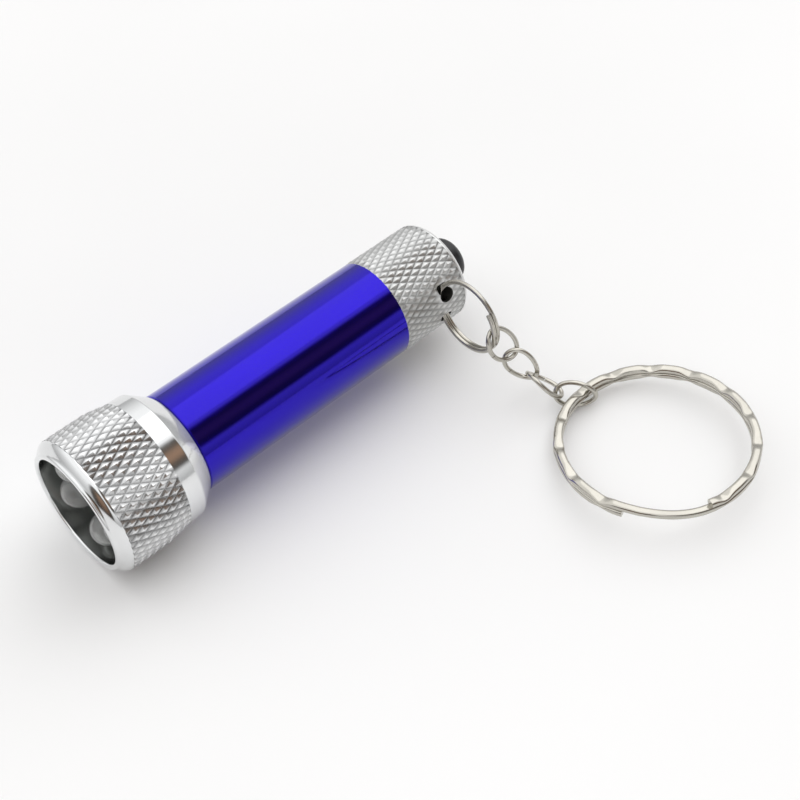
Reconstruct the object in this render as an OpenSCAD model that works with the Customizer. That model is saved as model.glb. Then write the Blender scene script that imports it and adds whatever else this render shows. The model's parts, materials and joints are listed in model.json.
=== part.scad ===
// Keychain flashlight with a turning head, a push button in the tail and a key ring on a short chain.
// Units are mm. The origin is the centre of the front rim. +X runs along the light to its tail, +Z is up.
// The light lies level, with its head on the table at z = -head_d / 2.

/* [Head] */
// Outside diameter of the knurled head
head_d = 20; // [19.6:0.1:20.4]
// Length of the head along the light
head_len = 15.9; // [15.8:0.1:16.2]
// Bore of the front opening
opening_d = 15.9; // [15.7:0.1:16.1]
// Radius of the lip's rounded edges
lip_r = 0.3; // [0.25:0.01:0.35]
// Diameter at the back edge of the head, before its cone
back_edge_d = 18.66; // [18.4:0.1:18.8]

/* [Lamps] */
// Diameter of one lamp's dome
lamp_d = 4.8; // [4.7:0.05:4.9]
// Distance of the lamps from the axis
lamp_ring_r = 5.35; // [5.3:0.01:5.4]
// Depth of the domes' tips behind the rim
lamp_tip_depth = 0.9; // [0.8:0.1:1.4]
// Turn of the ring of lamps about the axis
lamp_turn = 24; // [0:1:72]

/* [Barrel] */
// Diameter of the smooth barrel
barrel_d = 14.66; // [14.5:0.02:14.9]
// Bore for the cells
barrel_bore = 12.3; // [12.25:0.01:12.4]
// Position of the barrel's back end
barrel_end = 51.1; // [50.8:0.1:51.4]
// Diameter over the knurl of the tail grip
grip_d = 14.9; // [14.8:0.05:15]
// Position of the tail's end face
tail_end = 62.8; // [62.6:0.1:63]

/* [Cells] */
// Diameter of one button cell
cell_d = 11.6; // [11.4:0.05:11.6]
// Height of one button cell
cell_h = 5.4; // [5.2:0.1:5.4]
// Position of the first cell
cells_start = 19; // [18.8:0.1:19.4]

/* [Button] */
// Diameter of the button
button_d = 6.8; // [6.6:0.1:6.9]
// Height of the button above the end face
button_out = 4.4; // [4.2:0.1:4.6]
// Height of the dome on top of it
button_dome = 1.8; // [1.6:0.1:2]

/* [Small ring] */
// Radius of the small split ring at its wire's middle
small_r = 5.4; // [5.3:0.05:5.5]
// Radial width of its wire
small_wire = 0.7; // [0.65:0.01:0.75]
// Thickness of one coil
small_coil = 0.6; // [0.55:0.01:0.62]
// Position of the ring's hole along the light
hole_x = 58.5; // [58.3:0.1:58.8]
// Direction of the hole about the axis, from up towards -Y
hole_angle = 80; // [76:1:84]
// Diameter of the hole's mouth
hole_d = 2.2; // [2.1:0.05:2.3]
// Direction of the mouth about the axis, from up towards -Y
mouth_angle = 69; // [68:0.5:70]
// Offset of the mouth along the light from the ring
mouth_shift = 0.35; // [0.3:0.01:0.4]
// Distance from the light's axis to the ring's middle circle
hole_depth_r = 6.13; // [6.1:0.01:6.2]

/* [Chain] */
// Distance between two pivots of one link
link_pitch = 4.75; // [4.7:0.01:4.8]
// Outside width of a link
link_w = 4.6; // [4.5:0.05:4.7]
// Diameter of the links' wire
link_wire = 0.7; // [0.65:0.01:0.72]
// Free play between two links
play = 0.3; // [0.28:0.01:0.34]
// Where the first link hangs on the small ring
hang_angle = -89.7; // [-90:0.1:-89.4]

/* [Key ring] */
// Outside diameter of the key ring
key_d = 28.3; // [28:0.1:28.5]
// Radial width of its wire
key_wire = 1.5; // [1.4:0.05:1.55]
// Thickness of one coil
key_coil = 1.0; // [0.95:0.01:1.02]
// Where the last link grips the key ring
grip_angle = -2; // [-2.4:0.1:-1.6]

/* [Hidden] */
$fn = 64;
head_r = head_d / 2;
barrel_r = barrel_d / 2;
grip_r = grip_d / 2;
opening_r = opening_d / 2;
back_edge_r = back_edge_d / 2;
lamp_r = lamp_d / 2;
fit_gap = 0.02;
past = 1;

// Head: outline points from the lip to the cone, and its bores
lip_flat = 0.25;
lip_outer_r = opening_r + 2 * lip_r + lip_flat;
bevel_x = 1.64;
bevel_drop = 0.17;
grip_front_x = 2.4;
grip_back_x = 8;
band_x = 11;
band_rise = 0.14;
cone_x = 13.4;
cone_gap = 0.04;
seat_x = 11;
seat_r = 6.6;

// Lamps, cup and board
lamps = 5;
lamp_pitch = 360 / lamps;
lamp_dome_x = lamp_tip_depth + lamp_r;
lamp_gap = 0.05;
lead_r = 0.25;
lead_side = 1.27;
lead_out = 0.3;
cup_r = 8.08;
cup_front = 5.6;
cup_back = 8.6;
cup_step = 0.6;
cup_step_w = 0.2;
board_x = 9.4;
board_t = 1;
lamp_back = board_x - 0.25;

// Barrel's neck and its seal
neck_x = 11.6;
neck_r = 6.9;
neck_relief = 0.45;
neck_run = 0.06;
neck_front_len = 1.2;
neck_gap = 0.15;
neck_bore_r = barrel_bore / 2;
neck_stop = 0.3;
neck_stop_len = 3;
head_run = 0.1;
seal_x = 14.9;
seal_r = 6.68;
seal_wire_r = 0.27;
groove_w = 0.7;
groove_r = 6.38;

// Cells and springs
cells_end = cells_start + 4 * cell_h;
sleeve_over = 0.5;
sleeve_gap = 0.03;
cap_step = 1.1;
cap_h = 0.9;
cap_overlap = 0.2;
contact_wire_r = 0.22;
front_wide_r = 4.4;
front_narrow_r = 1.6;
rear_front_r = 3.6;
rear_back_r = 4.4;
ring_front = 0.75;
ring_back = 0.15;
ring_gap = 0.5;
ring_inner_r = 5.3;

// Tail, button and switch
tail_step = 2;
tail_socket = 3.4;
tail_cavity_r = 4.1;
end_wall = 0.9;
end_chamfer = 0.4;
slot_w = 1.9;
slot_depth = 1.1;
mouth_depth = 2.1;
button_gap = 0.15;
button_foot = 3.4;
flange_x = 2.2;
flange_t = 1.2;
flange_r = 3.9;
plunger_x = 5;
plunger_t = 1.6;
plunger_r = 3.6;
pin_r = 1.8;
pin_len = 2;
switch_x = 45.2;
switch_end = 52;
switch_collar = 4.5;
switch_neck_r = 5.2;
switch_well = 3;
switch_well_r = 2.1;
terminal_t = 0.5;
spring_r = 2.9;
spring_wire_r = 0.2;
spring_gap = 0.1;

// Rings and links
small_second_start = -100;
coil_seam = 0.03;
key_core = 0.2;
small_slack = 0.05;
key_slack = 0.25;
link_r = (link_w - link_wire) / 2;
link_half = (link_pitch + play + link_wire) / 2 - link_r;
small_hook_r = small_r - small_wire / 2 - play - small_slack;
key_r = (key_d - key_wire) / 2;
key_hook_r = key_d / 2 - key_wire - play - key_slack;

// Directions of the four links: roll about the link's own length, fall below level, heading about Z
link_1_turn = [46, 53.7, -46.3];
link_2_turn = [81.6, 50.8, -56.6];
link_3_turn = [146.6, 25.3, -64.4];
link_4_turn = [75.9, 2.8, -47.8];
key_turn = [0, 7, 90];
small_turn = [0, 90, 0];

// A vector turned the same way as rotate(t)
function about_x(v, a) = [v.x, v.y * cos(a) - v.z * sin(a), v.y * sin(a) + v.z * cos(a)];
function about_y(v, a) = [v.x * cos(a) + v.z * sin(a), v.y, v.z * cos(a) - v.x * sin(a)];
function about_z(v, a) = [v.x * cos(a) - v.y * sin(a), v.x * sin(a) + v.y * cos(a), v.z];
function turned(v, t) = about_z(about_y(about_x(v, t.x), t.y), t.z);
function on_circle(r, a) = [r * cos(a), r * sin(a), 0];

small_axis_r = hole_depth_r + small_r;
small_centre = [hole_x, -small_axis_r * sin(hole_angle), small_axis_r * cos(hole_angle)];
pivot_1 = small_centre + turned(on_circle(small_hook_r, hang_angle), small_turn);
pivot_2 = pivot_1 + turned([link_pitch, 0, 0], link_1_turn);
pivot_3 = pivot_2 + turned([link_pitch, 0, 0], link_2_turn);
pivot_4 = pivot_3 + turned([link_pitch, 0, 0], link_3_turn);
pivot_5 = pivot_4 + turned([link_pitch, 0, 0], link_4_turn);
key_centre = pivot_5 - turned(on_circle(key_hook_r, grip_angle), key_turn);

// Places children that are built along +Z so that they run along the light from x
module along(x) {
  translate([x, 0, 0])
    rotate([0, 90, 0])
      children();
}

// A round tube along the light from x1 to x2
module tube(x1, x2, outer, inner) {
  along(x1)
    difference() {
      cylinder(r = outer, h = x2 - x1);
      translate([0, 0, -1])
        cylinder(r = inner, h = x2 - x1 + 2);
    }
}

// A round ring of wire about the light
module wire_ring(x, r, wire_r) {
  along(x)
    rotate_extrude()
      translate([r, 0])
        circle(r = wire_r);
}

// Blue barrel: a thin neck for the head's thread, then the smooth tube round the cells
module barrel_tube() {
  color("#2410a8")
    difference() {
      union() {
        along(neck_x)
          cylinder(r = neck_r - neck_relief, h = neck_front_len);
        along(neck_x + neck_front_len)
          cylinder(r = neck_r - neck_run, h = head_len + neck_gap - neck_x - neck_front_len);
        along(head_len + neck_gap)
          cylinder(r1 = barrel_r - neck_gap, r2 = barrel_r, h = neck_gap);
        along(head_len + 2 * neck_gap)
          cylinder(r = barrel_r, h = barrel_end - head_len - 2 * neck_gap);
      }
      along(neck_x - past)
        cylinder(r = neck_bore_r - neck_stop, h = neck_stop_len + 2 * past);
      along(neck_x + neck_stop_len)
        cylinder(r = neck_bore_r, h = barrel_end - neck_x);
      tube(seal_x - groove_w / 2, seal_x + groove_w / 2, neck_r + past, groove_r);
    }
}

// Knurled tail grip: closed end with the button's hole, and the small ring's curved slot and round mouth
module tail_grip() {
  color("#b9bbc0")
    difference() {
      union() {
        along(barrel_end)
          cylinder(r = grip_r, h = tail_end - barrel_end - end_chamfer);
        along(tail_end - end_chamfer)
          cylinder(r1 = grip_r, r2 = grip_r - end_chamfer, h = end_chamfer);
      }
      along(barrel_end - past)
        cylinder(r = neck_bore_r, h = tail_socket + past);
      along(barrel_end + tail_step)
        cylinder(r = tail_cavity_r, h = tail_end - end_wall - barrel_end - tail_step);
      along(tail_end - end_wall - past)
        cylinder(r = button_d / 2 + button_gap, h = end_wall + 2 * past);
      ring_slot();
      ring_mouth();
    }
}

// Space for the small ring, along its own circle
module ring_slot() {
  translate(small_centre)
    rotate(small_turn)
      rotate_extrude()
        translate([small_r, 0])
          square([slot_depth, slot_w], center = true);
}

// Round mouth drilled straight in towards the slot
module ring_mouth() {
  rotate([mouth_angle, 0, 0])
    translate([hole_x + mouth_shift, 0, grip_r - mouth_depth])
      cylinder(d = hole_d, h = mouth_depth + past);
}

// Rubber seal in the groove of the neck
module neck_o_ring() {
  color("#161616")
    wire_ring(seal_x, seal_r, seal_wire_r);
}

// Thin plastic sleeve round the cells
module battery_sleeve() {
  color("#d9d9d2")
    tube(cells_start - sleeve_over, cells_end + sleeve_over,
      neck_bore_r - sleeve_gap, cell_d / 2 + sleeve_gap);
}

// One button cell: a wide can with a smaller raised cap towards the head
module cell(k) {
  x = cells_start + k * cell_h;
  color("#c9cbce")
    union() {
      along(x)
        cylinder(r = cell_d / 2 - cap_step, h = cap_h);
      along(x + cap_h - cap_overlap)
        cylinder(r = cell_d / 2, h = cell_h - cap_h + cap_overlap);
    }
}
module cell_1() {
  cell(0);
}
module cell_2() {
  cell(1);
}
module cell_3() {
  cell(2);
}
module cell_4() {
  cell(3);
}

// Coils of a spring, as a pile of n wire rings between two ends, joined by short posts
module coils(x1, x2, r1, r2, n, wire_r) {
  step_x = (x2 - x1 - 2 * wire_r) / (n - 1);
  step_r = (r2 - r1) / (n - 1);
  for (k = [0:n - 1])
    wire_ring(x1 + wire_r + k * step_x, r1 + k * step_r, wire_r);
  for (k = [0:n - 2])
    along(x1 + wire_r + k * step_x)
      rotate([0, 0, k * 180])
        translate([r1 + (k + 0.5) * step_r, 0, 0])
          cylinder(r = wire_r * 0.8, h = step_x);
}

// Spring that presses the cells forward from the switch
module rear_contact() {
  color("#c7b277")
    coils(cells_end, switch_x, rear_front_r, rear_back_r, 5, contact_wire_r);
}

// Black switch body fixed behind the cells
module switch_housing() {
  color("#1d1d1f")
    difference() {
      union() {
        along(switch_x)
          cylinder(r = neck_bore_r - fit_gap, h = switch_collar);
        along(switch_x + switch_collar - fit_gap)
          cylinder(r = switch_neck_r, h = switch_end - switch_x - switch_collar + fit_gap);
      }
      along(switch_x + switch_well)
        cylinder(r = switch_well_r, h = switch_end - switch_x);
    }
}

// Metal disc that joins the switch to the barrel's wall
module switch_terminal() {
  color("#c7b277")
    tube(switch_end, switch_end + terminal_t, neck_bore_r - fit_gap, flange_r);
}

// Spring that lifts the button
module switch_spring() {
  color("#b8bcc2")
    coils(switch_end, tail_end - plunger_x - spring_gap, spring_r, spring_r, 5, spring_wire_r);
}

// Black rubber button: a round post with a domed top, and a flange inside the tail
module button_cap() {
  post_r = button_d / 2;
  dome_r = (pow(post_r, 2) + pow(button_dome, 2)) / (2 * button_dome);
  post_len = button_foot + button_out - button_dome;
  color("#101012")
    along(tail_end - button_foot)
      rotate_extrude()
        union() {
          square([post_r, post_len]);
          translate([0, button_foot - flange_x])
            square([flange_r, flange_t]);
          intersection() {
            translate([0, post_len + button_dome - dome_r])
              circle(r = dome_r);
            translate([0, post_len - fit_gap])
              square([post_r, button_dome + past]);
          }
        }
}

// Plunger under the button, which works the switch
module button_plunger() {
  color("#e6e6e2")
    union() {
      along(tail_end - plunger_x)
        cylinder(r = plunger_r, h = plunger_t);
      along(switch_end - pin_len)
        cylinder(r = pin_r, h = tail_end - plunger_x + plunger_t / 2 - switch_end + pin_len);
    }
}

// Loose contact ring between the lamp board and the barrel's neck
module ground_ring() {
  color("#c7b277")
    tube(neck_x - ring_front, neck_x - ring_back, neck_r - ring_gap, ring_inner_r);
}

// Head: rounded lip, bevelled front band, knurled grip, smooth band and cone, bored for lamps and neck
module head_bezel() {
  color("#c9ccd2")
    along(0)
      rotate_extrude()
        union() {
          polygon([
            [opening_r, lip_r],
            [lip_outer_r, lip_r],
            [head_r - bevel_drop, bevel_x],
            [head_r, grip_front_x],
            [head_r, grip_back_x],
            [back_edge_r + band_rise, band_x],
            [back_edge_r, cone_x],
            [barrel_r + cone_gap, head_len],
            [neck_r + head_run, head_len],
            [neck_r + head_run, seat_x],
            [seat_r, seat_x],
            [seat_r, board_x + board_t],
            [cup_r + fit_gap, board_x + board_t],
            [cup_r + fit_gap, cup_front - cup_step],
            [opening_r, cup_front - cup_step - cup_step_w],
          ]);
          translate([opening_r + lip_r, 0])
            square([lip_flat, 2 * lip_r]);
          for (edge_r = [opening_r + lip_r, lip_outer_r - lip_r])
            translate([edge_r, lip_r])
              circle(r = lip_r);
        }
}

// Place of lamp k on the ring of lamps
module lamp_place(k) {
  rotate([lamp_turn + lamp_pitch * k, 0, 0])
    translate([0, 0, lamp_ring_r])
      children();
}

// Two straight round wires of radius r behind every lamp
module lead_pairs(x1, x2, r) {
  for (k = [0:lamps - 1], side = [-lead_side, lead_side])
    lamp_place(k)
      translate([0, side, 0])
        along(x1)
          cylinder(r = r, h = x2 - x1);
}

// Dark bright-plated cup with a seat for each lamp
module lamp_cup() {
  color("#5b5e66")
    difference() {
      along(cup_front)
        cylinder(r = cup_r, h = cup_back - cup_front);
      for (k = [0:lamps - 1])
        lamp_place(k)
          along(cup_front - past)
            cylinder(r = lamp_r + lamp_gap, h = cup_back - cup_front + 2 * past);
    }
}

// Lens of one lamp: a dome on a round body
module lamp(k) {
  color("#dfe3e6")
    lamp_place(k)
      union() {
        translate([lamp_dome_x, 0, 0])
          sphere(r = lamp_r);
        along(lamp_dome_x)
          cylinder(r = lamp_r, h = lamp_back - lamp_dome_x);
      }
}
module lamp_1() {
  lamp(0);
}
module lamp_2() {
  lamp(1);
}
module lamp_3() {
  lamp(2);
}
module lamp_4() {
  lamp(3);
}
module lamp_5() {
  lamp(4);
}

// Two wire leads from each lamp through the board
module lamp_leads() {
  color("#b8bcc2")
    lead_pairs(lamp_back, board_x + board_t + lead_out, lead_r);
}

// Round circuit board behind the lamps
module circuit_board() {
  color("#1e5b36")
    difference() {
      along(board_x)
        cylinder(r = cup_r, h = board_t);
      lead_pairs(board_x - past, board_x + board_t + past, lead_r + fit_gap);
    }
}

// Cone spring from the board to the first cell
module front_contact() {
  color("#c7b277")
    coils(board_x + board_t, cells_start - lamp_gap, front_wide_r, front_narrow_r, 6, contact_wire_r);
}

// Small split ring: one full coil and a part coil beside it
module small_ring() {
  color("#a9a9a6")
    translate(small_centre)
      rotate(small_turn)
        union() {
          rotate_extrude()
            translate([small_r - small_wire / 2, 0])
              square([small_wire, small_coil]);
          rotate([0, 0, small_second_start])
            rotate_extrude(angle = 180)
              translate([small_r - small_wire / 2 + coil_seam, -small_coil])
                square([small_wire - 2 * coil_seam, small_coil + coil_seam]);
        }
}

// One oval wire link lying along +X from its first pivot
module link() {
  color("#a3a29e")
    translate([link_pitch / 2, 0, 0])
      union() {
        for (side = [0, 180])
          rotate([0, 0, side]) {
            translate([link_half, 0, 0])
              rotate([0, 0, -90])
                rotate_extrude(angle = 180)
                  translate([link_r, 0])
                    circle(d = link_wire);
            translate([-link_half, link_r, 0])
              rotate([0, 90, 0])
                cylinder(d = link_wire, h = 2 * link_half);
          }
      }
}
module link_1() {
  translate(pivot_1)
    rotate(link_1_turn)
      link();
}
module link_2() {
  translate(pivot_2)
    rotate(link_2_turn)
      link();
}
module link_3() {
  translate(pivot_3)
    rotate(link_3_turn)
      link();
}
module link_4() {
  translate(pivot_4)
    rotate(link_4_turn)
      link();
}

// Key ring: two coils of flattened wire side by side
module key_ring() {
  color("#b3aaa0")
    translate(key_centre)
      rotate(key_turn)
        rotate_extrude()
          translate([key_r, 0])
            union() {
              translate([-key_wire / 2, coil_seam])
                square([key_wire, key_coil - coil_seam]);
              square([key_wire - 2 * key_core, 4 * coil_seam], center = true);
              translate([-key_wire / 2, -key_coil])
                square([key_wire, key_coil - coil_seam]);
            }
}

barrel_tube();
tail_grip();
neck_o_ring();
battery_sleeve();
cell_1();
cell_2();
cell_3();
cell_4();
rear_contact();
switch_housing();
switch_terminal();
switch_spring();
button_cap();
button_plunger();
ground_ring();
head_bezel();
lamp_cup();
lamp_1();
lamp_2();
lamp_3();
lamp_4();
lamp_5();
lamp_leads();
circuit_board();
front_contact();
small_ring();
link_1();
link_2();
link_3();
link_4();
key_ring();
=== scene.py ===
"""Looks of the keychain flashlight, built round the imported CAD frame. Metres, +X along the light, +Z up."""
import json
from math import atan2, cos, pi, radians, sin, sqrt

import bpy
from mathutils import Matrix, Vector


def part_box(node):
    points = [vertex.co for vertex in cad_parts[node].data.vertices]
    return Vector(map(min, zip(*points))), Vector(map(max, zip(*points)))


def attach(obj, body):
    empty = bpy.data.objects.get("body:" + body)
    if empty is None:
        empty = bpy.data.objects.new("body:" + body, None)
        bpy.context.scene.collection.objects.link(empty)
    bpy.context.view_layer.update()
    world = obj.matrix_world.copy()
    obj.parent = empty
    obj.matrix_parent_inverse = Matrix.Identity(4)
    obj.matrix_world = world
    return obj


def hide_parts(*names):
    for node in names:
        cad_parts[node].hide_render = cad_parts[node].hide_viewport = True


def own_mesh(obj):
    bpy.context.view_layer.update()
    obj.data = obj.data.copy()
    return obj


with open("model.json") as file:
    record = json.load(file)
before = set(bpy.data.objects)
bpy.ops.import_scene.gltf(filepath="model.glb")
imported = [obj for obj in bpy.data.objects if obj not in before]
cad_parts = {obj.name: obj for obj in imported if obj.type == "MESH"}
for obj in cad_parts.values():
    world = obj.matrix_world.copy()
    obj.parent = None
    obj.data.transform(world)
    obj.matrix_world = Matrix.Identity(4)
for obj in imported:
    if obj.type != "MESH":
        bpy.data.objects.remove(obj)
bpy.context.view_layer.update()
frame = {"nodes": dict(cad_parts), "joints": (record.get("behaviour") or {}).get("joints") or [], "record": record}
record = frame["record"]
MM = 0.001

# ---------------------------------------------------------------- what the frame says

joints = {j["name"]: j for j in frame["joints"]}
mounts = {m["name"]: m for m in record["mounts"]}
head_low, head_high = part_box("head_bezel")
barrel_low, barrel_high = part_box("barrel_tube")
tail_low, tail_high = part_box("tail_grip")
button_low, button_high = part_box("button_cap")
lamp_low, lamp_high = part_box("lamp_1")
cup_low, cup_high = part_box("lamp_cup")
ring_low, ring_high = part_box("small_ring")

HEAD_R = head_high.z
HEAD_LEN = head_high.x
BARREL_R = barrel_high.z
TAIL_R = tail_high.z
TAIL_X = tail_low.x
TAIL_END = tail_high.x
BUTTON_END = button_high.x
LAMP_R = (lamp_high.y - lamp_low.y) / 2
TABLE_Z = -HEAD_R
BUTTON_R = 3.4 * MM

RING_CENTRE = (ring_low + ring_high) / 2
RING_WIRE = 0.7 * MM
RING_MIDDLE = (ring_high.y - ring_low.y) / 2 - RING_WIRE / 2
MOUTH_ANGLE = radians(69)
MOUTH_X = RING_CENTRE.x + 0.35 * MM
MOUTH_R = 1.1 * MM
SOCKET_R = 6.2 * MM
POINT_R = 1e-6

# ---------------------------------------------------------------- camera, floor and light


def aim(thing, place, target):
    """Puts a camera or light at place, looking at target."""
    thing.location = place
    thing.rotation_euler = (target - place).to_track_quat("-Z", "Y").to_euler()


def add_camera():
    """Looks down at the light from in front of the head, on the chain's side."""
    heading = radians(46.7)
    fall = radians(50.7)
    distance = 201 * MM
    focal_length = 67.5
    target = Vector((42.5, -14.6, 0)) * MM
    away = Vector((-cos(heading) * cos(fall), -sin(heading) * cos(fall), sin(fall)))
    data = bpy.data.cameras.new("camera")
    data.lens = focal_length
    data.sensor_width = 36
    data.clip_start = 0.01
    camera = bpy.data.objects.new("camera", data)
    bpy.context.scene.collection.objects.link(camera)
    aim(camera, target + away * distance, target)
    bpy.context.scene.camera = camera


def add_ramp(nodes, stops):
    """A colour ramp through (position, colour) stops."""
    ramp = nodes.new("ShaderNodeValToRGB")
    bands = ramp.color_ramp.elements
    while len(bands) < len(stops):
        bands.new(0.5)
    for band, (position, colour) in zip(bands, stops):
        band.position = position
        band.color = (*colour, 1)
    return ramp


def add_panel(name, place, target, size, power):
    """A rectangular soft light."""
    data = bpy.data.lights.new(name, "AREA")
    data.shape = "RECTANGLE"
    data.size, data.size_y = size
    data.energy = power
    lamp = bpy.data.objects.new(name, data)
    bpy.context.scene.collection.objects.link(lamp)
    aim(lamp, Vector(place), Vector(target))


def add_screen(nodes, links, where, direction, stretch, stops):
    """A dark patch of the room round a direction, stretched along the axes; gives its colour output."""
    place = nodes.new("ShaderNodeVectorMath")
    place.operation = "MULTIPLY"
    place.inputs[1].default_value = stretch
    links.new(where.outputs["Generated"], place.inputs[0])
    level = nodes.new("ShaderNodeVectorMath")
    level.operation = "NORMALIZE"
    links.new(place.outputs["Vector"], level.inputs[0])
    facing = nodes.new("ShaderNodeVectorMath")
    facing.operation = "DOT_PRODUCT"
    facing.inputs[1].default_value = Vector([d * s for d, s in zip(direction, stretch)]).normalized()
    links.new(level.outputs["Vector"], facing.inputs[0])
    ramp = add_ramp(nodes, stops)
    links.new(facing.outputs["Value"], ramp.inputs["Fac"])
    return ramp.outputs["Color"]


def add_studio():
    """A white room, greyer near the horizon, with two dark screens that are warm inside and a panel above."""
    bpy.context.scene.view_settings.view_transform = "Standard"
    world = bpy.data.worlds.new("studio")
    bpy.context.scene.world = world
    world.use_nodes = True
    nodes = world.node_tree.nodes
    links = world.node_tree.links
    nodes.clear()
    where = nodes.new("ShaderNodeTexCoord")
    split = nodes.new("ShaderNodeSeparateXYZ")
    links.new(where.outputs["Generated"], split.inputs[0])
    white, horizon = (1, 1, 1), (0.4, 0.4, 0.4)
    dark, core, warm = (0.1, 0.095, 0.09), (0.13, 0.1, 0.08), (0.3, 0.19, 0.13)
    height = add_ramp(nodes, [(0, horizon), (0.6, white)])
    links.new(split.outputs["Z"], height.inputs["Fac"])
    colour = height.outputs["Color"]
    # each screen's direction, its stretch, and how near its direction each of its colours starts
    screens = [((0.43, -0.65, 0.63), (0.5, 1, 1), (0.9, 0.945, 0.98, 1)),
               ((-0.86, -0.38, 0.33), (1, 1, 0.85), (0.9, 0.93, 0.97, 0.99))]
    for direction, stretch, nearness in screens:
        stops = list(zip(nearness, (white, dark, core, warm)))
        screen = add_screen(nodes, links, where, direction, stretch, stops)
        both = nodes.new("ShaderNodeVectorMath")
        both.operation = "MULTIPLY"
        links.new(colour, both.inputs[0])
        links.new(screen, both.inputs[1])
        colour = both.outputs["Vector"]
    back = nodes.new("ShaderNodeBackground")
    back.inputs["Strength"].default_value = 1.2
    out = nodes.new("ShaderNodeOutputWorld")
    links.new(colour, back.inputs["Color"])
    links.new(back.outputs["Background"], out.inputs["Surface"])
    add_panel("top_panel", (0.42, 0.15, 0.78), (0.03, 0, 0), (0.7, 1.3), 1.6)


def add_floor():
    """A wide pale table under the head."""
    half = 3
    corners = [(x * half, y * half, TABLE_Z) for x, y in ((-1, -1), (1, -1), (1, 1), (-1, 1))]
    mesh = bpy.data.meshes.new("floor")
    mesh.from_pydata(corners, [], [(0, 1, 2, 3)])
    mesh.materials.append(finish("floor_paper", (0.93, 0.93, 0.93), 0.8, 0.05, 60, 0.0, metallic=0))
    ground = bpy.data.objects.new("floor", mesh)
    bpy.context.scene.collection.objects.link(ground)


# ---------------------------------------------------------------- materials


def finish(name, colour, rough, rough_spread, scale, bump, metallic=1.0, stretch=(1, 1, 1), tone=0.04,
           coat=0.0):
    """A surface whose colour, roughness and relief come from layered noise. scale is in grains per metre,
    tone is how far the colour strays, and stretch draws the noise out along an axis."""
    material = bpy.data.materials.new(name)
    material.use_nodes = True
    nodes = material.node_tree.nodes
    links = material.node_tree.links
    shader = nodes["Principled BSDF"]
    shader.inputs["Metallic"].default_value = metallic
    shader.inputs["Coat Weight"].default_value = coat
    shader.inputs["Coat Roughness"].default_value = 0.03
    where = nodes.new("ShaderNodeTexCoord")
    mapping = nodes.new("ShaderNodeMapping")
    mapping.inputs["Scale"].default_value = stretch
    links.new(where.outputs["Object"], mapping.inputs["Vector"])
    fine = nodes.new("ShaderNodeTexNoise")
    fine.inputs["Scale"].default_value = scale
    fine.inputs["Detail"].default_value = 6
    broad = nodes.new("ShaderNodeTexNoise")
    broad.inputs["Scale"].default_value = scale / 12
    broad.inputs["Detail"].default_value = 3
    for noise in (fine, broad):
        links.new(mapping.outputs["Vector"], noise.inputs["Vector"])
    low, high = 0.3, 0.7
    deep = [c * (1 - tone) for c in colour]
    pale = [min(1, c * (1 + tone)) for c in colour]
    ramp = add_ramp(nodes, [(low, deep), (high, pale)])
    links.new(broad.outputs["Fac"], ramp.inputs["Fac"])
    links.new(ramp.outputs["Color"], shader.inputs["Base Color"])
    gloss = nodes.new("ShaderNodeMapRange")
    gloss.inputs["From Min"].default_value = low
    gloss.inputs["From Max"].default_value = high
    gloss.inputs["To Min"].default_value = max(0.01, rough - rough_spread)
    gloss.inputs["To Max"].default_value = rough + rough_spread
    links.new(fine.outputs["Fac"], gloss.inputs["Value"])
    links.new(gloss.outputs["Result"], shader.inputs["Roughness"])
    if bump:
        relief = nodes.new("ShaderNodeBump")
        relief.inputs["Strength"].default_value = bump
        relief.inputs["Distance"].default_value = 0.02 * MM
        links.new(fine.outputs["Fac"], relief.inputs["Height"])
        links.new(relief.outputs["Normal"], shader.inputs["Normal"])
    return material


def paint_groove_shade(material, amount):
    """Paints shade into a finish, darker where a knurled piece's groove value is high; plain pieces have none."""
    nodes = material.node_tree.nodes
    links = material.node_tree.links
    shader = nodes["Principled BSDF"]
    groove = nodes.new("ShaderNodeAttribute")
    groove.attribute_name = "groove"
    shade = nodes.new("ShaderNodeMapRange")
    shade.inputs["To Min"].default_value = 1
    shade.inputs["To Max"].default_value = 1 - amount
    links.new(groove.outputs["Fac"], shade.inputs["Value"])
    colour = nodes.new("ShaderNodeVectorMath")
    colour.operation = "MULTIPLY"
    links.new(shader.inputs["Base Color"].links[0].from_socket, colour.inputs[0])
    links.new(shade.outputs["Result"], colour.inputs[1])
    links.new(colour.outputs["Vector"], shader.inputs["Base Color"])


def clear_finish(name, colour, rough, through):
    """Moulded clear plastic with faint flow marks."""
    material = finish(name, colour, rough, 0.01, 500, 0.0, metallic=0, tone=0.02)
    shader = material.node_tree.nodes["Principled BSDF"]
    shader.inputs["Transmission Weight"].default_value = through
    shader.inputs["IOR"].default_value = 1.5
    return material


chrome = finish("bright_chrome", (0.76, 0.77, 0.775), 0.12, 0.02, 1500, 0.04)
knurl_chrome = finish("knurled_chrome", (0.8, 0.805, 0.81), 0.27, 0.05, 2600, 0.08)
# painted shade: the head knurl's grooves go darker
paint_groove_shade(knurl_chrome, 0.58)
dark_chrome = finish("dark_chrome", (0.46, 0.47, 0.46), 0.17, 0.03, 700, 0.0, tone=0.1)
satin = finish("bare_metal", (0.69, 0.695, 0.69), 0.4, 0.06, 2600, 0.15)
# painted shade: the tail knurl's grooves go darker
paint_groove_shade(satin, 0.46)
blue = finish("blue_metal", (0.013, 0.001, 0.4), 0.13, 0.05, 1800, 0.06, coat=0.4, tone=0.16,
              stretch=(0.12, 1, 1))
rubber = finish("black_rubber", (0.012, 0.012, 0.014), 0.38, 0.06, 2500, 0.3, metallic=0, tone=0.2)
nickel = finish("nickel_wire", (0.52, 0.5, 0.45), 0.17, 0.04, 2200, 0.08, tone=0.06)
lens = clear_finish("lamp_lens", (0.9, 0.91, 0.9), 0.06, 0.8)
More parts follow.
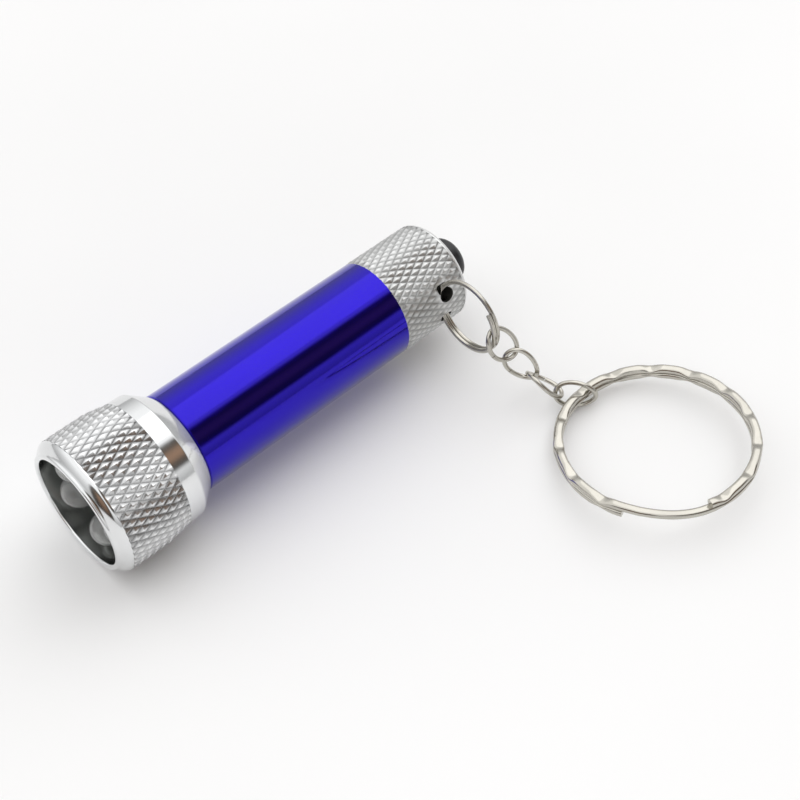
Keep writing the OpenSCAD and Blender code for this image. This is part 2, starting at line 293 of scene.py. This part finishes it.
# painted shade: a near-black lining for the cut faces inside the tail's slot and hole, where shade falls
painted_bore_shade = finish("bore_painted_shade", (0.05, 0.05, 0.045), 0.5, 0.1, 2000, 0.0, metallic=0.5)
die_metal = finish("lamp_frame", (0.62, 0.62, 0.6), 0.2, 0.05, 3000, 0.1)
sleeve = clear_finish("clear_sleeve", (0.82, 0.82, 0.78), 0.2, 0.6)
cell_steel = finish("cell_steel", (0.7, 0.71, 0.73), 0.18, 0.05, 2000, 0.15)
brass = finish("contact_brass", (0.72, 0.58, 0.3), 0.25, 0.06, 2000, 0.15)
black_plastic = finish("black_plastic", (0.03, 0.03, 0.032), 0.4, 0.08, 1800, 0.25, metallic=0, tone=0.15)
spring_steel = finish("spring_steel", (0.62, 0.63, 0.65), 0.25, 0.06, 2400, 0.15)
white_plastic = finish("white_plastic", (0.85, 0.85, 0.82), 0.4, 0.08, 1500, 0.2, metallic=0)
board_green = finish("board_green", (0.02, 0.12, 0.05), 0.35, 0.08, 1500, 0.2, metallic=0, tone=0.12)

SLOT_FINISH = {
    "blue_metal": blue, "bare_metal": satin, "black_rubber": rubber, "clear_sleeve": sleeve,
    "cell_steel": cell_steel, "contact_brass": brass, "black_plastic": black_plastic,
    "spring_steel": spring_steel, "white_plastic": white_plastic, "bright_chrome": chrome,
    "dark_chrome": dark_chrome, "lamp_lens": lens, "board_green": board_green, "nickel_wire": nickel,
}


def paint_frame():
    """Every CAD node takes the finish of its slot."""
    for part in record["subparts"]:
        mesh = frame["nodes"][part["node"]].data
        mesh.materials.clear()
        mesh.materials.append(SLOT_FINISH[part["material_slot"]])


# ---------------------------------------------------------------- mesh helpers


def make_piece(name, verts, faces, materials, sharp=35, face_material=None):
    """A mesh object from points and faces, with its corners over the sharp angle kept crisp."""
    mesh = bpy.data.meshes.new(name)
    mesh.from_pydata([tuple(v) for v in verts], [], faces)
    for material in materials:
        mesh.materials.append(material)
    if face_material:
        mesh.polygons.foreach_set("material_index", face_material)
    mesh.polygons.foreach_set("use_smooth", [True] * len(mesh.polygons))
    mesh.update()
    mesh.set_sharp_from_angle(angle=radians(sharp))
    piece = bpy.data.objects.new(name, mesh)
    bpy.context.scene.collection.objects.link(piece)
    return piece


def stand_for(piece, body, slot, *nodes):
    """Puts the piece on its body, in place of the CAD nodes named; slot is not used."""
    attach(piece, body)
    if nodes:
        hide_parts(*nodes)


def around_x(x, r, angle):
    """The point at radius r about the light's axis, with the angle turning from up towards -Y."""
    return Vector((x, -r * sin(angle), r * cos(angle)))


def rounded(points, radius, steps=4):
    """A profile of (x, r) points whose inner corners are rounded with arcs of about that radius."""
    result = [points[0]]
    for before, corner, after in zip(points, points[1:], points[2:]):
        a, c, b = Vector(before), Vector(corner), Vector(after)
        reach = min(radius, (a - c).length * 0.45, (b - c).length * 0.45)
        start = c + (a - c).normalized() * reach
        end = c + (b - c).normalized() * reach
        for k in range(steps + 1):
            t = k / steps
            result.append(tuple((1 - t) ** 2 * start + 2 * t * (1 - t) * c + t * t * end))
    result.append(points[-1])
    return result


def lathe(profile, steps, first=0):
    """Points and faces of a profile of (x, r) points turned about the light's axis."""
    verts = [around_x(x, r, 2 * pi * k / steps) for x, r in profile for k in range(steps)]
    faces = []
    for row in range(len(profile) - 1):
        for k in range(steps):
            a = first + row * steps + k
            b = first + row * steps + (k + 1) % steps
            faces.append((a, b, b + steps, a + steps))
    return verts, faces


def tube_along(points, sides, outline, closed=False):
    """Sweeps an outline along points of (centre, across, up, size), where outline(angle, size) gives how far
    to go across and up."""
    (centre, across, up, _), (following, _, _, _) = points[:2]
    if across.cross(up).dot(following - centre) < 0:
        points = points[::-1]
    verts = []
    for centre, across, up, size in points:
        for k in range(sides):
            u, v = outline(2 * pi * k / sides, size)
            verts.append(centre + across * u + up * v)
    rows = len(points)
    faces = []
    for row in range(rows if closed else rows - 1):
        for k in range(sides):
            a = row * sides + k
            b = row * sides + (k + 1) % sides
            c = (row + 1) % rows * sides + (k + 1) % sides
            d = (row + 1) % rows * sides + k
            faces.append((a, b, c, d))
    if not closed:
        faces.append(tuple(range(sides))[::-1])
        faces.append(tuple(range((rows - 1) * sides, rows * sides)))
    return verts, faces


def grid_column(grid, i, rows, j, around):
    """The groove points round diamond (i, j): in front, (left, right) and behind, None past the ends."""
    before = grid[i - 1, j] if i > 0 else None
    after = grid[i + 1, j] if i < rows else None
    return before, (grid[i, (j - 1) % (2 * around)], grid[i, (j + 1) % (2 * around)]), after


def knurl(x1, x2, rows, around, tip_r, depth, first, smooth_at=None):
    """Diamond knurl from x1 to x2 in rows of half diamonds; tip_r(x) is its crest. Flat sided, blunt tips.
    smooth_at(x, angle) fades it to a plain surface, 1 where it is plain."""
    verts, faces = [], []
    step_x = (x2 - x1) / rows
    step_a = pi / around
    blunt = 0.2
    shoulder = 1 - 0.85 * blunt
    tip = 1 - 0.3 * blunt
    end_height = 0.82
    plain_height = 0.5

    def surface(x, angle, height):
        """height is 0 in the grooves and 1 on the crest."""
        plain = smooth_at(x, angle) if smooth_at else 0
        height = height * (1 - plain) + plain_height * plain
        return around_x(x, tip_r(x) - depth * (1 - height), angle)

    grid = {}
    for i in range(rows + 1):
        for j in range(2 * around):
            if (i + j) % 2 == 0:
                grid[i, j] = first + len(verts)
                verts.append(surface(x1 + i * step_x, j * step_a, 0))
            elif i in (0, rows):
                grid[i, j] = first + len(verts)
                verts.append(surface(x1 + i * step_x, j * step_a, end_height))
    for i in range(rows + 1):
        for j in range(2 * around):
            if (i + j) % 2 == 0:
                continue
            before, here, after = grid_column(grid, i, rows, j, around)
            if i == 0:
                top, right, left = grid[i, j], here[1], here[0]
                faces += [(top, right, after), (top, after, left)]
                continue
            if i == rows:
                top, right, left = grid[i, j], here[1], here[0]
                faces += [(top, left, before), (top, before, right)]
                continue
            ring = [before, here[1], after, here[0]]
            inner = []
            for dx, da in ((-1, 0), (0, 1), (1, 0), (0, -1)):
                inner.append(first + len(verts))
                verts.append(surface(x1 + (i + dx * blunt) * step_x, (j + da * blunt) * step_a, shoulder))
            top = first + len(verts)
            verts.append(surface(x1 + i * step_x, j * step_a, tip))
            for k in range(4):
                n = (k + 1) % 4
                faces.append((ring[k], ring[n], inner[n], inner[k]))
                faces.append((inner[k], inner[n], top))
    front = [grid[0, j] for j in range(2 * around)]
    back = [grid[rows, j] for j in range(2 * around)]
    grooves = {place for (i, j), place in grid.items() if (i + j) % 2 == 0}
    return verts, faces, front, back, grooves


def crease(piece, grooves):
    """Keeps the grooves crisp, lets each diamond shade softly to its tip and marks the grooves for painted shade.
    """
    depth = piece.data.attributes.new("groove", "FLOAT", "POINT")
    for point in grooves:
        depth.data[point].value = 1
    for edge in piece.data.edges:
        if edge.vertices[0] in grooves and edge.vertices[1] in grooves:
            edge.use_edge_sharp = True


def last_row(verts, steps):
    """The numbers of the last turned row's points."""
    return [len(verts) - steps + k for k in range(steps)]


def join_rings(one, two):
    """Faces between two rings of the same number of points."""
    n = len(one)
    return [(one[k], one[(k + 1) % n], two[(k + 1) % n], two[k]) for k in range(n)]


# ---------------------------------------------------------------- head


def build_head():
    """The chromed head: rounded lip, bellied bevel, diamond knurl, smooth band, cone and dark bore wall."""
    around = 50
    steps = 2 * around
    lip = 0.3 * MM
    lip_flat = 0.25 * MM
    seam = 0.1 * MM
    groove = 0.34 * MM
    taper = 0.5 * MM
    edge = 0.12 * MM
    bevel_x, knurl_x1, taper_x, knurl_x2, cone_x = (x * MM for x in (1.64, 1.75, 8, 11, 13.4))
    bevel_start = lip + seam
    lip_in = cup_high.z - 0.13 * MM
    lip_out = lip_in + 2 * lip + lip_flat
    band_r = HEAD_R - 0.17 * MM
    back_r = HEAD_R - 0.67 * MM
    crest_r = HEAD_R - 0.03 * MM

    def tip_r(x):
        """The knurl's crest, straight and then falling towards the back."""
        return crest_r - max(0, x - taper_x) / (knurl_x2 - taper_x) * taper

    quarter = [pi / 2 * k / 5 for k in range(6)]
    bevel_steps = 6
    front = [(lip - lip * sin(a), lip_in + lip - lip * cos(a)) for a in quarter]
    front += [(lip - lip * cos(a), lip_out - lip + lip * sin(a)) for a in quarter]
    front.append((lip + 0.6 * seam, lip_out + 0.1 * seam))
    for k in range(bevel_steps + 1):
        t = k / bevel_steps
        bulge = 1 - (1 - t) ** 1.6
        front.append((bevel_start + t * (bevel_x - bevel_start),
                      lip_out + 0.3 * seam + (band_r - lip_out) * bulge))
    front.append((knurl_x1, band_r))
    verts, faces = lathe(front, steps)
    plain = len(faces)
    ring = last_row(verts, steps)

    more, knurled, first_ring, last_ring, grooves = knurl(knurl_x1, knurl_x2, 8, around,
                                                          tip_r, groove, len(verts))
    verts += more
    faces += knurled + join_rings(ring, first_ring)

    rear = rounded([(knurl_x2, back_r + seam), (cone_x, back_r), (HEAD_LEN, BARREL_R + 0.6 * seam),
                    (HEAD_LEN, BARREL_R - lip), (HEAD_LEN - lip, BARREL_R - lip - 0.5 * seam)], edge)
    more, sides = lathe(rear, steps, len(verts))
    faces += join_rings(last_ring, [len(verts) + k for k in range(steps)]) + sides
    verts += more
    bright = len(faces) - plain - len(knurled)
    more, sides = lathe([(cup_low.x, lip_in), (lip, lip_in)], steps, len(verts))
    verts += more
    faces += sides
    piece = make_piece("head_shell", verts, faces, [chrome, knurl_chrome, dark_chrome], sharp=45,
                       face_material=[0] * plain + [1] * len(knurled) + [0] * bright + [2] * len(sides))
    crease(piece, grooves)
    stand_for(piece, "head", "bright_chrome", "head_bezel")


def build_lamps():
    """Each lamp is a clear dome with the metal cup and post of its lead inside."""
    post_r = 0.7 * MM
    for k in range(1, 6):
        low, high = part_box(f"lamp_{k}")
        centre = (low + high) / 2
        shift = Matrix.Translation((0, centre.y, centre.z))
        quarter = [pi / 2 * n / 14 for n in range(15)]
        dome = [(low.x + LAMP_R * (1 - cos(a)), max(POINT_R, LAMP_R * sin(a))) for a in quarter]
        dome += [(high.x, LAMP_R), (high.x, POINT_R)]
        verts, faces = lathe(dome, 48)
        piece = make_piece(f"lamp_dome_{k}", [shift @ v for v in verts], faces, [lens], sharp=50)
        stand_for(piece, "head", "lamp_lens", f"lamp_{k}")
        seat = low.x + 3.3 * MM
        cup = [(seat + 0.45 * MM, POINT_R), (seat + 0.4 * MM, post_r / 2), (seat, post_r - 0.08 * MM),
               (seat + 0.02 * MM, post_r + 0.1 * MM), (seat + 1.2 * MM, post_r), (high.x, post_r)]
        verts, faces = lathe(rounded(cup, 0.08 * MM), 24)
        piece = make_piece(f"lamp_anvil_{k}", [shift @ v for v in verts], faces, [die_metal])
        stand_for(piece, "head", "spring_steel")


# ---------------------------------------------------------------- tail


def cut_away(piece, cutter):
    """Takes the cutter's space out of the piece, then drops the cutter."""
    modifier = piece.modifiers.new("cut", "BOOLEAN")
    modifier.operation = "DIFFERENCE"
    modifier.solver = "EXACT"
    # the cut faces take the cutter's material, which is the painted shade lining
    modifier.material_mode = "TRANSFER"
    modifier.object = cutter
    bpy.context.view_layer.update()
    shape = piece.evaluated_get(bpy.context.evaluated_depsgraph_get())
    mesh = bpy.data.meshes.new_from_object(shape)
    piece.modifiers.clear()
    piece.data = mesh
    bpy.data.objects.remove(cutter)


def far_mouth_angle():
    """Where the small ring's circle leaves the tail's outside on its lower side, as an angle about X."""
    def outside(t):
        y = RING_CENTRE.y + RING_MIDDLE * cos(t)
        z = RING_CENTRE.z + RING_MIDDLE * sin(t)
        return sqrt(y * y + z * z) > TAIL_R, atan2(-y, z)
    turns = [outside(2 * pi * n / 720) for n in range(721)]
    return max(b for (was, a), (now, b) in zip(turns, turns[1:]) if was != now)


def cut_ring_slot(piece):
    """Cuts the curved slot that the small ring swings in, its cut faces lined with painted shade."""
    half_width = 0.55 * MM
    half_height = 0.93 * MM
    slot = []
    for n in range(96):
        t = 2 * pi * n / 96
        outward = Vector((0, cos(t), sin(t)))
        slot.append((RING_CENTRE + outward * RING_MIDDLE, outward, Vector((1, 0, 0)), (1, 1, 0)))
    verts, faces = tube_along(slot, 20, soft_box(half_width, half_height, 5), closed=True)
    cut_away(piece, make_piece("slot_cutter", verts, faces, [painted_bore_shade]))


def cut_ring_mouth(piece):
    """Cuts the round mouth of the small ring's hole, a little wider at the outside; lined with painted shade."""
    along = Vector((1, 0, 0))
    outward = around_x(0, 1, MOUTH_ANGLE)
    drill = []
    for height, size in ((5.4, 1), (7.1, 1), (7.3, 1.06), (8.6, 1.6)):
        drill.append((outward * height * MM + along * MOUTH_X, along, along.cross(outward), size * MOUTH_R))
    verts, faces = tube_along(drill, 40, round_wire)
    cut_away(piece, make_piece("mouth_cutter", verts, faces, [painted_bore_shade]))


def build_tail():
    """The knurled tail grip with its smooth end, the button's bore and the small ring's hole."""
    around = 40
    steps = 2 * around
    crest_r = TAIL_R - 0.02 * MM
    end_r = TAIL_R - 0.14 * MM
    groove = 0.26 * MM
    edge = 0.15 * MM
    bore = BUTTON_R + 0.15 * MM
    bore_len = 0.9 * MM
    inside_r = 4.1 * MM
    floor_x = TAIL_X + 3 * MM
    socket_x = TAIL_X + 0.6 * MM
    knurl_x2 = TAIL_END - 0.75 * MM
    fade = 0.5 * MM
    spots = [(MOUTH_X, MOUTH_ANGLE, 2.5 * MM), (RING_CENTRE.x, far_mouth_angle(), 1.5 * MM)]

    def smooth_at(x, angle):
        """1 on the plain spot face round each mouth of the ring's hole."""
        best = 0
        for spot_x, spot_angle, spot_r in spots:
            turn = (angle - spot_angle + pi) % (2 * pi) - pi
            reach = sqrt((x - spot_x) ** 2 + (turn * TAIL_R) ** 2)
            best = max(best, min(1, max(0, (spot_r - reach) / fade)))
        return best

    start_rim = [(socket_x, SOCKET_R), (TAIL_X, SOCKET_R), (TAIL_X, TAIL_R - 0.22 * MM)]
    verts, faces = lathe(start_rim, steps)
    ring = last_row(verts, steps)
    more, sides, first_ring, last_ring, grooves = knurl(TAIL_X + 0.05 * MM, knurl_x2, 11, around,
                                                        lambda x: crest_r, groove, len(verts), smooth_at)
    verts += more
    faces += join_rings(ring, first_ring) + sides
    end = rounded([(knurl_x2, end_r), (TAIL_END - 0.5 * MM, end_r), (TAIL_END, TAIL_R - 0.6 * MM),
                   (TAIL_END, bore + 0.25 * MM), (TAIL_END - 0.25 * MM, bore), (TAIL_END - bore_len, bore),
                   (TAIL_END - bore_len, inside_r), (floor_x, inside_r), (floor_x, SOCKET_R),
                   (socket_x, SOCKET_R)], edge)
    more, sides = lathe(end, steps, len(verts))
    faces += join_rings(last_ring, [len(verts) + k for k in range(steps)]) + sides
    verts += more
    faces += join_rings(last_row(verts, steps), list(range(steps)))
    piece = make_piece("tail_shell", verts, faces, [satin], sharp=45)
    crease(piece, grooves)
    cut_ring_slot(piece)
    cut_ring_mouth(piece)
    stand_for(piece, "barrel", "bare_metal", "tail_grip")


def build_button():
    """A rubber post with a round top, its lower end hidden in the tail."""
    r = BUTTON_R - 0.02 * MM
    rise = 1.8 * MM
    foot = TAIL_END - 3.2 * MM
    quarter = [pi / 2 * n / 18 for n in range(19)]
    profile = [(BUTTON_END - rise * (1 - cos(a)), max(POINT_R, r * sin(a))) for a in quarter]
    profile += [(TAIL_END + 0.1 * MM, r), (foot, r), (foot, POINT_R)]
    verts, faces = lathe(profile, 64)
    piece = make_piece("button_boot", verts, [f[::-1] for f in faces], [rubber], sharp=60)
    stand_for(piece, "button", "black_rubber", "button_cap")


def build_switch_spring():
    """The button's return spring: a wound wire with closed ends, on a mesh of its own."""
    low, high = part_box("switch_spring")
    wire_r = 0.2 * MM
    coil_r = high.y - wire_r
    turns = 6
    closed_turns = 0.8
    count = turns * 32
    run = high.x - low.x - 2 * wire_r
    points = []
    for n in range(count + 1):
        turned = turns * n / count
        outward = around_x(0, 1, 2 * pi * turned)
        share = min(1, max(0, (turned - closed_turns) / (turns - 2 * closed_turns)))
        centre = outward * coil_r + Vector((low.x + wire_r + run * share, 0, 0))
        points.append((centre, outward, Vector((1, 0, 0)), wire_r))
    verts, faces = tube_along(points, 10, round_wire)
    piece = make_piece("button_spring", verts, faces, [spring_steel], sharp=60)
    stand_for(piece, "barrel", "spring_steel", "switch_spring")
    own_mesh(piece)


# ---------------------------------------------------------------- rings and links


def round_wire(angle, size):
    """A round outline of radius size."""
    return size * cos(angle), size * sin(angle)


def soft_box(half_w, half_h, power=4):
    """An outline function: a box with well rounded corners, of half sizes that scale with size."""
    def outline(angle, size):
        c, s = cos(angle), sin(angle)
        k = (abs(c) ** power + abs(s) ** power) ** (-1 / power)
        return half_w * size[0] * c * k, half_h * size[1] * s * k + size[2]
    return outline


def ease(t):
    """Rises smoothly from 0 to 1."""
    t = min(1, max(0, t))
    return t * t * (3 - 2 * t)


def build_small_ring():
    """One wire wound one and a half times, which crosses to its second turn inside the tail."""
    first, turned = 138, 575
    cross_at, cross_span = 372, 60
    layer_x = 0.3 * MM
    half_width = 0.335 * MM
    half_height = 0.285 * MM
    count = 180
    points = []
    for n in range(count + 1):
        t = first + turned * n / count
        a = radians(t)
        outward = Vector((0, cos(a), sin(a)))
        side = Vector((layer_x * (2 * ease((t - cross_at) / cross_span) - 1), 0, 0))
        points.append((RING_CENTRE + outward * RING_MIDDLE + side, outward, Vector((1, 0, 0)), (1, 1, 0)))
    verts, faces = tube_along(points, 16, soft_box(half_width, half_height, 3))
    piece = make_piece("small_split_ring", verts, faces, [nickel], sharp=60)
    stand_for(piece, "small_ring", "nickel_wire", "small_ring")


def build_link(number):
    """A bent wire oval, a little twisted, with its cut ends almost closed."""
    here = joints[f"link_{number}_swing"]
    after = joints[f"link_{number + 1}_swing" if number < 4 else "key_ring_swing"]
    start, end = Vector(here["pos_m"]), Vector(after["pos_m"])
    along = (end - start).normalized()
    across = Vector(after["axis"])
    across = (across - along * across.dot(along)).normalized()
    normal = along.cross(across)
    middle = (start + end) / 2
    wire_r = 0.34 * MM
    half_width = 1.95 * MM
    half_length = (end - start).length / 2 + 0.5 * MM
    twist = 0.25 * MM
    gap = radians(1.2)
    points = []
    count = 96
    for n in range(count + 1):
        a = gap - pi / 2 + (2 * pi - 2 * gap) * n / count
        centre = (middle + along * half_length * cos(a) + across * half_width * sin(a)
                  + normal * twist * sin(2 * a))
        outward = (along * cos(a) / half_length + across * sin(a) / half_width).normalized()
        points.append((centre, outward, normal, wire_r))
    verts, faces = tube_along(points, 14, round_wire)
    piece = make_piece(f"wire_link_{number}", verts, faces, [nickel], sharp=60)
    stand_for(piece, f"link_{number}", "nickel_wire", f"link_{number}")


def build_key_ring():
    """Two turns of wire with pressed waves, and a plain stretch where it crosses between the turns."""
    centre = Vector(mounts["key_ring_loop"]["pos_m"])
    normal = Vector(mounts["key_ring_loop"]["axis"])
    grip = Vector(joints["key_ring_swing"]["pos_m"]) - centre
    e1 = (grip - normal * grip.dot(normal)).normalized()
    e2 = normal.cross(e1)
    box_low, box_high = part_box("key_ring")
    outer = max(box_high.x - box_low.x, box_high.y - box_low.y) / 2
    middle = outer - 0.78 * MM
    half_width = 0.7 * MM
    half_height = 0.49 * MM
    layer_gap = 1 * MM
    dent = 0.42 * MM
    inset = 0.1 * MM
    cut_upper, cut_lower = 163, 113
    crossing = cut_upper - cut_lower
    margin = 8
    waves = 15
    first_wave = radians(52)
    count = 900
    points = []
    for n in range(count + 1):
        t = cut_upper + (cut_lower + 720 - cut_upper) * n / count
        a = radians(t)
        past = t - 360 - cut_lower
        plain = sin(pi * min(1, max(0, (past + margin) / (crossing + 2 * margin)))) ** 0.5
        layer = 0.5 - ease(past / crossing)
        wave = (0.5 + 0.5 * cos(waves * (a - first_wave))) ** 3 * (1 - plain)
        pressed = dent * wave / 2
        width = 0.94 - 0.08 * plain + 0.15 * wave
        outward = e1 * cos(a) + e2 * sin(a)
        place = centre + outward * (middle - inset * plain) + normal * layer * layer_gap
        lower = -pressed if layer > 0 else pressed
        points.append((place, outward, normal, (width, 1 - pressed / half_height, lower)))
    verts, faces = tube_along(points, 20, soft_box(half_width, half_height, 2.8))
    piece = make_piece("key_split_ring", verts, faces, [nickel], sharp=60)
    stand_for(piece, "key_ring", "nickel_wire", "key_ring")


add_camera()
add_floor()
add_studio()
paint_frame()
build_head()
build_lamps()
build_tail()
build_button()
build_switch_spring()
build_small_ring()
for number in range(1, 5):
    build_link(number)
build_key_ring()
